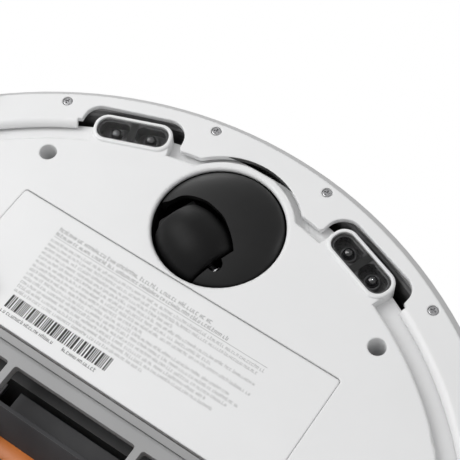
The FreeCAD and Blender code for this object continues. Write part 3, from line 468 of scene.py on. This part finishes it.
for side in (1, -1):
    pts = [(side * 13.5, 1.0), (side * 16.4, 1.0), (side * 16.4, 16.0), (side * 16.0, 17.0), (side * 13.5, 19.2)]
    v, f = prism(pts, 11.2, 29.4)
    ck = make("caster_cheek_%s" % ("right" if side > 0 else "left"), v, f, M["caster_black"], "caster", smooth=False, place=AT_CASTER)
    n = 24
    ring = [(11.0 + 3.2 * math.cos(2 * math.pi * i / n), CZ - 1.2 + 3.2 * math.sin(2 * math.pi * i / n)) for i in range(n)]
    x0, x1 = (12.9, 15.4) if side > 0 else (-15.4, -12.9)
    v = [(x0, a, b) for a, b in ring] + [(x1, a, b) for a, b in ring]
    f = [tuple(range(n)), tuple(range(n, 2 * n))[::-1]] + [(i, (i + 1) % n, n + (i + 1) % n, n + i) for i in range(n)]
    cut_with(ck, v, f, AT_CASTER)
pts = [(-16.4, -14.5), (16.4, -14.5), (16.4, -11.5), (-16.4, -11.5)]
v, f = prism(pts, 9.2, 29.4)
make("caster_web", v, f, M["caster_black"], "caster", smooth=False, bevel=0.4, place=AT_CASTER)

# wheel: barrel turned from a smooth profile
half = 12.8
side_prof = curve([(1.6, -half + 1.6), (4.6, -half + 1.6), (5.4, -half + 0.9), (8.2, -half + 0.15), (9.9, -half + 0.35), (11.0, -half + 1.3), (11.9, -half + 3.2),
                   (12.85, -half + 6.2), (13.35, -half + 9.2), (13.48, -half + 11.8)], 4)
prof = side_prof + [(13.5, 0.0)] + [(r, -z) for r, z in reversed(side_prof)]
v, f = spun(prof, 144)
TURN = AT_CASTER @ Matrix.Translation((0, TRAIL * MM, CZ * MM)) @ Matrix.Rotation(math.radians(90), 4, "Y")
wheel = make("caster_barrel_wheel", v, f, M["wheel_black"], "caster_wheel", place=TURN)
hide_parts("caster_wheel")

# spring clip on the end of the axle
n, pts_o, pts_i = 30, [], []
for i in range(n + 1):
    a = math.radians(130 + 280 * i / n)
    pts_o.append((2.75 * math.cos(a), 2.75 * math.sin(a)))
    pts_i.append((1.55 * math.cos(a), 1.55 * math.sin(a)))
v, f = prism(pts_o + pts_i[::-1], -0.3, 0.3)
for side, nm in ((14.1, "right"), (-14.1, "left")):
    PL = AT_CASTER @ Matrix.Translation((side * MM, TRAIL * MM, CZ * MM)) @ Matrix.Rotation(math.radians(90), 4, "Y")
    make("caster_axle_clip_%s" % nm, v, f, M["steel"], "caster", smooth=False, bevel=0.12, place=PL)

# ------------------------------------------------------------------ cliff sensors: tray, divider, emitters with collars
M["tray"] = plastic("sensor_tray_plastic", (0.050, 0.050, 0.051), (0.085, 0.085, 0.086), 0.30, 0.08, edge=0.0003, mottle=260)
M["divider"] = plastic("sensor_divider", (0.006, 0.006, 0.006), (0.009, 0.009, 0.009), 0.55, 0.05, edge=0.0002)
M["dome"] = plastic("emitter_dome", (0.010, 0.010, 0.011), (0.016, 0.016, 0.018), 0.06, 0.02, grain_bump=0.0, edge=0, spec=1.0, coat=1.0)
M["collar"] = plastic("emitter_collar", (0.16, 0.16, 0.165), (0.24, 0.24, 0.245), 0.14, 0.03, edge=0, coat=1.0)
RXY = (138.0 * math.sin(math.radians(125)), -138.0 * math.cos(math.radians(125)))


def sensor(name, x, y, ang, dz, mirror):
    def place(px=0.0, py=0.0, pz=0.0):
        m = Matrix.Translation((x * MM, y * MM, 0)) @ Matrix.Rotation(math.radians(ang), 4, "Z") @ Matrix.Translation((px * MM, py * MM, pz * MM))
        return Matrix.Scale(-1, 4, (1, 0, 0)) @ m if mirror else m
    v, f = prism(round_rect(29.2, 9.6, 4.4), dz + 0.75, dz + 7.1)
    tray = make(name + "_tray", v, f, M["tray"], "chassis", smooth=False, place=place())
    for sx in (1, -1):
        v, f = prism([(a + sx * 7.7, b) for a, b in round_rect(12.6, 8.4, 3.4)], dz + 0.3, dz + 6.2)
        cut_with(tray, v, f, place())
    v, f = prism(round_rect(29.5, 9.9, 4.5), dz - 0.28, dz + 1.1)
    make(name + "_lens", v, f, M["clear"], "chassis", smooth=False, bevel=0.25, place=place())
    v, f = prism([(-1.6, -4.6), (1.6, -4.6), (1.6, 4.6), (-1.6, 4.6)], dz + 0.55, dz + 1.4)
    make(name + "_divider", v, f, M["divider"], "chassis", smooth=False, place=place())
    for k, sx in enumerate((1, -1)):
        prof = [(0.0, 1.3)] + [(2.35 * math.sin(math.radians(t)), 3.65 - 2.35 * math.cos(math.radians(t))) for t in range(8, 91, 8)] + [(2.35, 6.3), (0.0, 6.3)]
        v, f = spun(prof, 40)
        make("%s_emitter_%d" % (name, k), v, f, M["dome"], "chassis", place=place(sx * 7.2, 0, dz + 0.4))
        prof = [(2.45, 5.0), (2.6, 4.5), (2.85, 4.35), (3.1, 4.5), (3.2, 5.0), (3.2, 6.3), (2.45, 6.3)]
        v, f = spun(prof, 40)
        make("%s_collar_%d" % (name, k), v, f, M["collar"], "chassis", place=place(sx * 7.2, 0, dz))
    # raised line round the inside of the window
    lo, li = round_rect(27.9, 8.3, 3.8), round_rect(27.4, 7.8, 3.55)
    n = len(lo)
    v = [(a, b, z) for z in (dz + 1.10, dz + 1.45) for ring in (lo, li) for a, b in ring]
    f = []
    for i in range(n):
        j = (i + 1) % n
        f += [(i, j, n + j, n + i), (2 * n + i, 3 * n + i, 3 * n + j, 2 * n + j), (i, 2 * n + i, 2 * n + j, j), (n + i, n + j, 3 * n + j, 3 * n + i)]
    make(name + "_inner_line", v, f, M["collar"], "chassis", place=place())
    return tray


Z_POD, Z_PL = 8.2, 9.0
trays = [sensor("cliff_front_left", 53.4, -146.9, 20.4, Z_POD + 0.25, False), sensor("cliff_front_right", 53.4, -146.9, 20.4, Z_POD + 0.25, True),
         sensor("cliff_rear_left", RXY[0], RXY[1], 125.0, Z_PL + 0.25, False), sensor("cliff_rear_right", RXY[0], RXY[1], 125.0, Z_PL + 0.25, True)]
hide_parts("cliff_sensors", "cliff_emitters")
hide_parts("cliff_windows")


# ------------------------------------------------------------------ curved gloss-black skirt inside the bumper, seen through the sensor cut-outs
def sector(outline, a0, a1, n):
    """Closed (r, z) outline swept between two angles measured from the front."""
    v, f = [], []
    m = len(outline)
    for i in range(n + 1):
        a = math.radians(a0 + (a1 - a0) * i / n)
        v += [(r * math.sin(a), -r * math.cos(a), z) for r, z in outline]
    for i in range(n):
        for k in range(m):
            q = (k + 1) % m
            f.append((i * m + k, i * m + q, (i + 1) * m + q, (i + 1) * m + k))
    f += [tuple(range(m))[::-1], tuple(n * m + k for k in range(m))]
    return v, f


# its inner edge stays clear of the pods when the bumper is pushed home
face = curve([(169.5, 11.9), (168.9, 12.1), (168.2, 12.5), (167.4, 13.15), (166.7, 14.0), (166.1, 15.2)], 6)
back = [(166.6, 15.3), (167.2, 14.4), (167.9, 13.7), (168.7, 13.1), (169.5, 12.7)]
for nm, a0, a1 in (("left", 10.2, 29.2), ("right", -29.2, -10.2)):
    v, f = sector(face + back, a0, a1, 48)
    make("slot_skirt_%s" % nm, v, f, M["skirt"], "bumper", angle=50)

# ------------------------------------------------------------------ sloped apron between the caster collar and the rim of the base
nf, nr_ = 96, 8
v, f = [], []
for i in range(nf + 1):
    a = math.radians(-56.0 + 112.0 * i / nf)
    z_end = 13.97
    for _ in range(6):
        R_end = 159.6 + (z_end - 9.6) * 0.636
        t_end = -130.7 * math.cos(a) + math.sqrt(R_end ** 2 - (130.7 * math.sin(a)) ** 2)
        t_end = min(t_end, 34.6)
        z_end = min(13.97, 12.1 + (t_end - 29.0) * 0.45)
    for k in range(nr_ + 1):
        t = 29.0 + (t_end - 29.0) * k / nr_
        v.append((t * math.sin(a), -130.7 - t * math.cos(a), min(13.97, 12.1 + (t - 29.0) * 0.45)))
    v.append((t_end * math.sin(a), -130.7 - t_end * math.cos(a), 15.4))
    v.append((29.0 * math.sin(a), -130.7 - 29.0 * math.cos(a), 15.4))
row = nr_ + 3
for i in range(nf):
    for k in range(row):
        q = (k + 1) % row
        f.append((i * row + k, i * row + q, (i + 1) * row + q, (i + 1) * row + k))
f += [tuple(range(row))[::-1], tuple(nf * row + k for k in range(row))]
M["white_plain"] = plastic("white_satin_plain", (0.800, 0.802, 0.805), (0.820, 0.822, 0.825), 0.42, 0.04, edge=0.0005)
make("caster_apron", v, f, M["white_plain"], "chassis", angle=40)

# ------------------------------------------------------------------ print on the base panel: generic strokes and bars only
M["print_grey"] = plastic("label_ink_grey", (0.34, 0.34, 0.34), (0.42, 0.42, 0.42), 0.5, 0.03, edge=0, grain_bump=0.0)
M["print_dark"] = plastic("label_ink_dark", (0.016, 0.016, 0.016), (0.03, 0.03, 0.03), 0.5, 0.03, edge=0, grain_bump=0.0)
M["print_mid"] = plastic("label_ink_mid", (0.26, 0.26, 0.26), (0.32, 0.32, 0.32), 0.5, 0.03, edge=0, grain_bump=0.0)
PZ0, PZ1 = 8.97, 9.02


class Ink:
    def __init__(self):
        self.v, self.f = [], []

    def bar(self, x0, x1, y0, y1, z0=PZ0):
        b = len(self.v)
        self.v += [(x0, y0, z0), (x1, y0, z0), (x1, y1, z0), (x0, y1, z0), (x0, y0, PZ1), (x1, y0, PZ1), (x1, y1, PZ1), (x0, y1, PZ1)]
        self.f += [tuple(b + i for i in q) for q in ((3, 2, 1, 0), (4, 5, 6, 7), (0, 1, 5, 4), (1, 2, 6, 5), (2, 3, 7, 6), (3, 0, 4, 7))]


def words(ink, x0, x1, y, size, pen):
    """A row of made-up strokes in word-like groups. y is the base of the row, towards +Y; strokes rise towards -Y."""
    x = x0
    while x < x1:
        n = random.randint(2, 9)
        for _ in range(n):
            if x > x1:
                break
            w = size * random.choice((0.42, 0.50, 0.50, 0.58))
            h = size * random.choice((0.72, 0.72, 0.72, 1.0))
            kind = random.randint(0, 4)
            ink.bar(x, x + pen, y - h, y)
            if kind in (0, 1, 4):
                ink.bar(x + w - pen, x + w, y - size * 0.72, y)
            if kind in (0, 2):
                ink.bar(x + pen, x + w - pen * 0.5, y - size * 0.72, y - size * 0.72 + pen)
            if kind in (1, 2, 3):
                ink.bar(x + pen, x + w - pen * 0.5, y - pen, y)
            if kind == 4:
                ink.bar(x + pen, x + w - pen, y - size * 0.42, y - size * 0.42 + pen)
            x += w + size * 0.17
        x += size * 0.34


ink = Ink()
words(ink, -50.0, 22.0, -95.2, 1.9, 0.22)
words(ink, -50.0, 30.0, -93.0, 1.7, 0.22)
make("label_header", ink.v, ink.f, M["print_mid"], "chassis", smooth=False)
ink = Ink()
ink.bar(-50.0, 48.0, -92.35, -92.18)
ends = (47.5, 46.0, 10.0, 47.0, 30.0, 48.0, 2.0, 42.0, 47.5, 44.0, 36.0, 40.0, 12.0)
for i, e in enumerate(ends):
    words(ink, -50.0 + 2.0 * i / 12.0, e, -89.9 + i * 2.02, 1.45, 0.17)
make("label_rows", ink.v, ink.f, M["print_grey"], "chassis", smooth=False)
ink = Ink()
x = -47.0
while x < 0.0:
    w = random.choice((0.34, 0.36, 0.36, 0.60, 0.95))
    ink.bar(x, min(x + w, 0.4), -64.3, -58.7)
    x += w + random.choice((0.26, 0.28, 0.36, 0.62))
make("label_bars", ink.v, ink.f, M["print_dark"], "chassis", smooth=False)
ink = Ink()
words(ink, -47.0, -22.5, -56.3, 1.6, 0.20)
words(ink, -18.0, -3.0, -56.3, 1.6, 0.20)
make("label_bar_caption", ink.v, ink.f, M["print_dark"], "chassis", smooth=False)

# ------------------------------------------------------------------ camera
cam_data = bpy.data.cameras.new("camera")
cam_data.sensor_width = 36.0
cam_data.lens = 1220.285 * 36.0 / 460.0
cam_data.shift_x = 0.00465
cam_data.shift_y = 0.00163
cam_data.clip_start = 0.01
cam_data.clip_end = 20.0
cam = bpy.data.objects.new("camera", cam_data)
scene.collection.objects.link(cam)
v = Vector((-0.493239592, 0.190380513, 0.582863838))
R = Matrix.Rotation(v.length, 3, v.normalized())      # rows: image right, image down, view direction
cam.matrix_world = Matrix.Translation(Vector((0.147118, 0.050918, -0.394209))) @ Matrix(
    ((R[0][0], -R[1][0], -R[2][0]), (R[0][1], -R[1][1], -R[2][1]), (R[0][2], -R[1][2], -R[2][2]))).to_4x4()
scene.camera = cam
IMG_RIGHT, IMG_DOWN, VIEW = Vector(R[0]), Vector(R[1]), Vector(R[2])


# ------------------------------------------------------------------ light, world and floor
def area(name, direction, dist, size, power, target=(0, -0.09, 0.009), color=(1, 1, 1)):
    d = Vector(direction).normalized()
    t = Vector(target)
    ld = bpy.data.lights.new(name, "AREA")
    ld.shape = "DISK"
    ld.size = size
    ld.energy = power
    ld.color = color
    o = bpy.data.objects.new(name, ld)
    scene.collection.objects.link(o)
    o.location = t + d * dist
    o.rotation_euler = (-d).to_track_quat("-Z", "Y").to_euler()
    o.visible_camera = False
    return o


area("key_low", -0.90 * IMG_RIGHT - 0.80 * IMG_DOWN - 0.75 * VIEW, 1.0, 0.9, 6.6)
area("fill_low", -0.2 * IMG_RIGHT + 0.2 * IMG_DOWN - 1.0 * VIEW, 1.6, 1.4, 0.6)
area("key_top", (-0.5, -0.6, 1.1), 1.6, 1.2, 12.5, target=(0, 0, 0.05))
area("fill_top", (0.8, 0.5, 0.7), 1.8, 1.4, 7.0, target=(0, 0, 0.05))

def only_for(light, names):
    c = bpy.data.collections.new(light.name + "_takes")
    for o in bpy.data.objects:
        if any(o.name.startswith(n) for n in names):
            c.objects.link(o)
    light.light_linking.receiver_collection = c


for k, d in enumerate((-0.35 * IMG_RIGHT - 0.75 * IMG_DOWN - 1.0 * VIEW, 0.10 * IMG_RIGHT - 0.80 * IMG_DOWN - 1.0 * VIEW)):
    g = area("glint_%d" % k, d, 0.9, 0.055, 4.0)
    g.visible_diffuse = False
    only_for(g, ("cliff_front_left_emitter", "cliff_front_right_emitter", "caster_axle_clip"))
eye = cam.matrix_world.translation
for nm, tx, ty, tn, power, size in (("a", -11.0, -145.0, Vector((-0.34, -0.27, -0.90)), 1.8, 0.50), ("b", 21.5, -137.0, Vector((0.62, -0.15, -0.77)), 0.5, 0.10)):
    P = Vector((tx * MM, ty * MM, 0.0075))
    vw = (eye - P).normalized()
    nrm = tn.normalized()
    d = (2 * nrm.dot(vw) * nrm - vw).normalized()
    g = area("dome_light_" + nm, d, 0.9, size, power, target=P)
    g.visible_diffuse = False
    only_for(g, ("caster_dome", "caster_barrel"))
for nm, ang, tilt, power, size in (("left", -28.0, 50.0, 3.4, 0.34), ("right", 20.0, 50.0, 0.16, 0.26), ("right_b", 26.5, 50.0, 0.012, 0.045)):
    ar, at = math.radians(ang), math.radians(tilt)
    P = Vector((0.1668 * math.sin(ar), -0.1668 * math.cos(ar), 0.0135))
    nrm = Vector((-math.cos(at) * math.sin(ar), math.cos(at) * math.cos(ar), -math.sin(at)))
    vw = (eye - P).normalized()
    d = (2 * nrm.dot(vw) * nrm - vw).normalized()
    g = area("skirt_light_" + nm, d, 0.9, size, power, target=P)
    g.visible_diffuse = nm == "left"
    only_for(g, ("slot_skirt", "bumper_liner"))

pane = next(o for o in bpy.data.objects if o.name.startswith("cliff_front_right_lens"))
P = Vector((-53.4 * MM, -146.9 * MM, 8.2 * MM))
vw = (eye - P).normalized()
nrm = Vector((-0.02, -0.02, -1.0)).normalized()
g = area("pane_light", (2 * nrm.dot(vw) * nrm - vw).normalized(), 0.9, 0.42, 1.1, target=P)
g.visible_diffuse = False
only_for(g, (pane.name,))

w = bpy.data.worlds.new("world")
w.use_nodes = True
scene.world = w
nt = w.node_tree
bg = next(n for n in nt.nodes if n.type == "BACKGROUND")
out = next(n for n in nt.nodes if n.type == "OUTPUT_WORLD")
bg.inputs[0].default_value = (1, 1, 1, 1)
bg.inputs[1].default_value = 0.54
white = nt.nodes.new("ShaderNodeBackground")
white.inputs[0].default_value = (1, 1, 1, 1)
white.inputs[1].default_value = 1.0
lp = nt.nodes.new("ShaderNodeLightPath")
mix = nt.nodes.new("ShaderNodeMixShader")
nt.links.new(lp.outputs["Is Camera Ray"], mix.inputs[0])
nt.links.new(bg.outputs[0], mix.inputs[1])
nt.links.new(white.outputs[0], mix.inputs[2])
nt.links.new(mix.outputs[0], out.inputs[0])
scene.view_settings.view_transform = "Standard"
scene.view_settings.look = "None"

# pale floor, seen only from above: its underside lets everything through
fm, fnt, fb = new_mat("pale_floor")
fb.inputs["Base Color"].default_value = (0.80, 0.80, 0.80, 1)
fb.inputs["Roughness"].default_value = 0.75
geo = fnt.nodes.new("ShaderNodeNewGeometry")
tr = fnt.nodes.new("ShaderNodeBsdfTransparent")
mx = fnt.nodes.new("ShaderNodeMixShader")
fo = next(n for n in fnt.nodes if n.type == "OUTPUT_MATERIAL")
fnt.links.new(geo.outputs["Backfacing"], mx.inputs[0])
# away from the object the floor fades into the white surroundings
ftc = fnt.nodes.new("ShaderNodeTexCoord")
fln = fnt.nodes.new("ShaderNodeVectorMath")
fln.operation = "LENGTH"
fnt.links.new(ftc.outputs["Object"], fln.inputs[0])
fmr = fnt.nodes.new("ShaderNodeMapRange")
fmr.interpolation_type = "SMOOTHSTEP"
fmr.inputs["From Min"].default_value = 0.22
fmr.inputs["From Max"].default_value = 1.1
fnt.links.new(fln.outputs["Value"], fmr.inputs["Value"])
fem = fnt.nodes.new("ShaderNodeEmission")
fem.inputs["Color"].default_value = (1, 1, 1, 1)
fem.inputs["Strength"].default_value = 1.0
fmx = fnt.nodes.new("ShaderNodeMixShader")
fnt.links.new(fmr.outputs["Result"], fmx.inputs[0])
fnt.links.new(fb.outputs[0], fmx.inputs[1])
fnt.links.new(fem.outputs[0], fmx.inputs[2])
fnt.links.new(fmx.outputs[0], mx.inputs[1])
fnt.links.new(tr.outputs[0], mx.inputs[2])
fnt.links.new(mx.outputs[0], fo.inputs[0])
me = bpy.data.meshes.new("floor")
S = 6.0
me.from_pydata([(-S, -S, 0), (S, -S, 0), (S, S, 0), (-S, S, 0)], [], [(0, 1, 2, 3)])
floor = bpy.data.objects.new("floor", me)
scene.collection.objects.link(floor)
floor.data.materials.append(fm)
floor.location.z = -0.0002
floor.visible_shadow = False
floor.visible_diffuse = False
floor.visible_glossy = False
floor.visible_transmission = False
